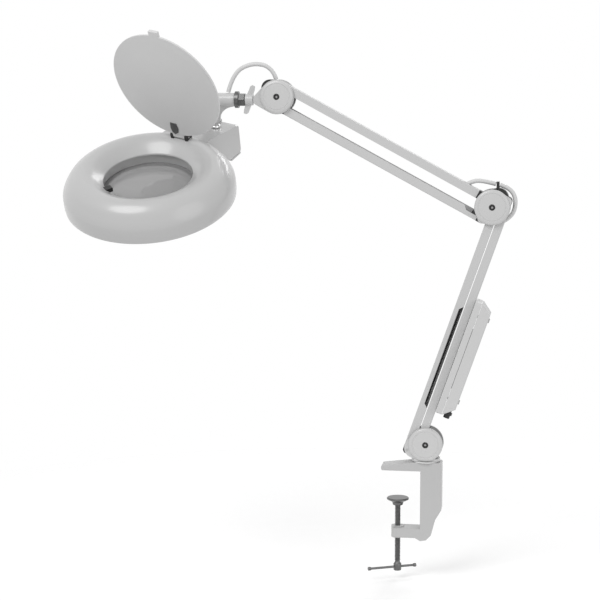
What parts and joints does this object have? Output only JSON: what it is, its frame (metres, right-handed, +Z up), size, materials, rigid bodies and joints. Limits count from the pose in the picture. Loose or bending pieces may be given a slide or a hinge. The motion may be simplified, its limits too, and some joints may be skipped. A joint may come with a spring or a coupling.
{
  "type": "magnifying lamp",
  "caption": "Clamp-on bench magnifier: round lens in a ring-lamp head with a flip-up lid, on a two-stage parallelogram arm with round pivot hubs and a screw clamp.",
  "frame": {"origin": "centre of the clamp's upper jaw face, which rests on the desk top, on the clamp screw's axis", "axes": "+Z up out of the desk, +Y away from the viewer and square to the plane the arm folds in, +X to the right, from the desk towards its edge"},
  "size_m": [0.6049, 0.2745, 0.7533],
  "materials": {
    "clamp_enamel": "satin powder coat",
    "hub_enamel": "semi-gloss enamel",
    "arm_enamel": "satin enamel",
    "ballast_shell": "fine grained",
    "head_shell": "glossy",
    "lid_shell": "satin",
    "black_nylon": "matt",
    "dark_steel": "oiled",
    "black_steel": "blackened",
    "spring_steel": "oiled",
    "pin_steel": "ground",
    "bright_chrome": "polished",
    "choke_iron": "varnished laminations",
    "lens_glass": "polished",
    "tube_glass": "phosphor coated",
    "white_plastic": "smooth",
    "cable_pvc": "smooth"
  },
  "bodies": {
    "clamp": {"clamp_frame": "clamp_enamel", "swivel_washer": "white_plastic"},
    "pad": {"pressure_pad": "dark_steel"},
    "screw": {"clamp_screw": "dark_steel"},
    "tommy": {"tommy_bar": "dark_steel"},
    "base_hub": {"base_yoke": "hub_enamel", "base_core": "black_nylon", "base_caps": "hub_enamel", "base_tension_screw": "black_steel", "base_pivot_pins": "pin_steel"},
    "lower_back": {"lower_back_bar": "arm_enamel", "lower_back_bearings": "black_nylon", "ballast_tray": "ballast_shell", "ballast_cover": "ballast_shell", "ballast_cover_screws": "pin_steel", "ballast_choke": "choke_iron", "mains_gland": "black_nylon"},
    "lower_front": {"lower_front_bar": "arm_enamel", "lower_front_bearings": "black_nylon", "lower_spring": "spring_steel"},
    "elbow_hub": {"elbow_plates": "hub_enamel", "elbow_core": "black_nylon", "elbow_caps": "hub_enamel", "elbow_tension_screw": "black_steel", "elbow_pivot_pins": "pin_steel", "elbow_cable_upper": "cable_pvc", "elbow_cable_lower": "cable_pvc"},
    "upper_top": {"upper_top_bar": "arm_enamel", "upper_top_bearings": "black_nylon"},
    "upper_bottom": {"upper_bottom_bar": "arm_enamel", "upper_bottom_bearings": "black_nylon", "upper_spring": "spring_steel"},
    "shoulder_hub": {"shoulder_fork": "hub_enamel", "shoulder_core": "black_nylon", "shoulder_caps": "hub_enamel", "shoulder_tension_screw": "black_steel", "shoulder_pivot_pins": "pin_steel", "stub_bolt": "pin_steel", "lock_nut": "dark_steel", "shoulder_cable": "cable_pvc"},
    "knob": {"wing_knob": "hub_enamel"},
    "neck": {"neck_casting": "hub_enamel", "neck_screws": "dark_steel", "pan_pin": "pin_steel"},
    "head": {"head_housing": "head_shell", "reflector": "white_plastic", "circular_tube": "tube_glass", "lamp_socket": "white_plastic", "tube_clips": "pin_steel", "lens": "lens_glass", "lens_ring": "black_nylon", "box_cover": "head_shell", "box_cap_screw": "bright_chrome", "hinge_lugs": "black_nylon", "hinge_pin": "pin_steel", "lid_catch": "black_nylon", "rocker_frame": "black_nylon"},
    "lid": {"lid": "lid_shell"},
    "rocker": {"rocker_switch": "black_nylon"}
  },
  "joints": [
    {"name": "screw_feed", "type": "slide", "parent": "clamp", "child": "pad", "axis": [0, 0, 1], "range_m": [-0.025, 0.036]},
    {"name": "screw_turn", "type": "hinge", "parent": "pad", "child": "screw", "pos_m": [0, 0, -0.1], "axis": [0, 0, 1], "range_deg": [-4500, 6480]},
    {"name": "tommy_slide", "type": "slide", "parent": "screw", "child": "tommy", "axis": [0.8988, 0.4384, 0], "range_m": [-0.018, 0.034]},
    {"name": "base_swivel", "type": "hinge", "parent": "clamp", "child": "base_hub", "pos_m": [0.039, 0, 0.014], "axis": [0, 0, 1], "continuous": true},
    {"name": "lower_arm_tilt", "type": "hinge", "parent": "base_hub", "child": "lower_back", "pos_m": [0.03487, 0, 0.05215], "axis": [0, 1, 0], "range_deg": [-60, 1]},
    {"name": "lower_link_tilt", "type": "hinge", "parent": "base_hub", "child": "lower_front", "pos_m": [0.01333, 0, 0.02985], "axis": [0, 1, 0], "range_deg": [-60, 1]},
    {"name": "elbow_level", "type": "hinge", "parent": "lower_back", "child": "elbow_hub", "pos_m": [0.14833, 0, 0.37796], "axis": [0, 1, 0], "range_deg": [-1, 60], "deforming": ["elbow_cable_lower"]},
    {"name": "upper_arm_tilt", "type": "hinge", "parent": "elbow_hub", "child": "upper_top", "pos_m": [0.11326, 0, 0.38421], "axis": [0, 1, 0], "range_deg": [-58, 26], "deforming": ["elbow_cable_upper"]},
    {"name": "upper_link_tilt", "type": "hinge", "parent": "elbow_hub", "child": "upper_bottom", "pos_m": [0.11326, 0, 0.35321], "axis": [0, 1, 0], "range_deg": [-58, 26]},
    {"name": "shoulder_level", "type": "hinge", "parent": "upper_top", "child": "shoulder_hub", "pos_m": [-0.16471, 0, 0.53451], "axis": [0, 1, 0], "range_deg": [-26, 58]},
    {"name": "wing_turn", "type": "hinge", "parent": "shoulder_hub", "child": "knob", "pos_m": [-0.20991, 0, 0.51501], "axis": [1, 0, 0], "range_deg": [-90, 90]},
    {"name": "head_roll", "type": "hinge", "parent": "shoulder_hub", "child": "neck", "pos_m": [-0.2655, 0, 0.51501], "axis": [1, 0, 0], "range_deg": [-55, 40], "deforming": ["shoulder_cable"]},
    {"name": "head_pan", "type": "hinge", "parent": "neck", "child": "head", "pos_m": [-0.2655, 0, 0.51501], "axis": [0, -0.4679, 0.8838], "range_deg": [-80, 25]},
    {"name": "lid_hinge", "type": "hinge", "parent": "head", "child": "lid", "pos_m": [-0.29597, -0.05949, 0.46699], "axis": [-0.9265, 0.3325, 0.176], "range_deg": [-80, 10]},
    {"name": "rocker_press", "type": "hinge", "parent": "head", "child": "rocker", "pos_m": [-0.26211, 0.03544, 0.46588], "axis": [-0.9265, 0.3325, 0.176], "range_deg": [0, 10]}
  ],
  "couplings": [
    {"joint": "screw_turn", "follows": "screw_feed", "rad_per_m": 3141.6},
    {"joint": "lower_link_tilt", "follows": "lower_arm_tilt", "ratio": 1},
    {"joint": "elbow_level", "follows": "lower_arm_tilt", "ratio": -1},
    {"joint": "upper_link_tilt", "follows": "upper_arm_tilt", "ratio": 1},
    {"joint": "shoulder_level", "follows": "upper_arm_tilt", "ratio": -1}
  ]
}
